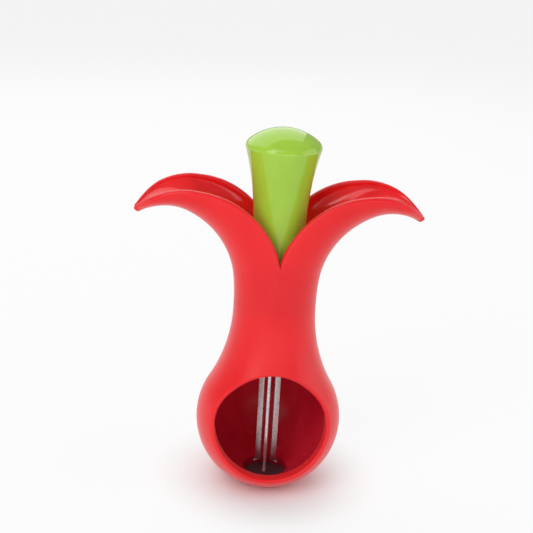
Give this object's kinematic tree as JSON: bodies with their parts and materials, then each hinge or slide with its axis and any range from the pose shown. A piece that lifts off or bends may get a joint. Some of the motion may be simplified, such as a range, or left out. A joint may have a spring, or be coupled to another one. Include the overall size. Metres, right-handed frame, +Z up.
{
  "type": "cherry pitter",
  "caption": "Flower-shaped hand cherry pitter: a round open-fronted bulb holds the fruit, petals are finger rests, and a push-down stem drives steel prongs through the stone.",
  "frame": {"origin": "on the plunger's axis, at the centre of the stone outlet's lower rim, level with the foot that the bulb stands on", "axes": "+Z up along the plunger's axis, the open front faces -Y, the petals spread along X"},
  "size_m": [0.0902, 0.0406, 0.1165],
  "materials": {
    "red_plastic": "satin outside, glossy inside the petals and the bulb",
    "guide_plastic": "satin",
    "clip_steel": "satin stainless steel",
    "holder_plastic": "satin",
    "ring_rubber": "matt",
    "prong_steel": "brushed stainless steel",
    "green_plastic": "gloss"
  },
  "bodies": {
    "flower": {"flower_body": "red_plastic", "prong_guide": "guide_plastic", "retaining_clip": "clip_steel"},
    "plunger": {"stem_front": "green_plastic", "stem_back": "green_plastic", "prong_holder": "holder_plastic", "friction_ring": "ring_rubber", "prong_front": "prong_steel", "prong_right": "prong_steel", "prong_left": "prong_steel"}
  },
  "joints": [
    {"name": "plunger_slide", "type": "slide", "parent": "flower", "child": "plunger", "axis": [0, 0, 1], "range_m": [0, 0.0242]}
  ]
}
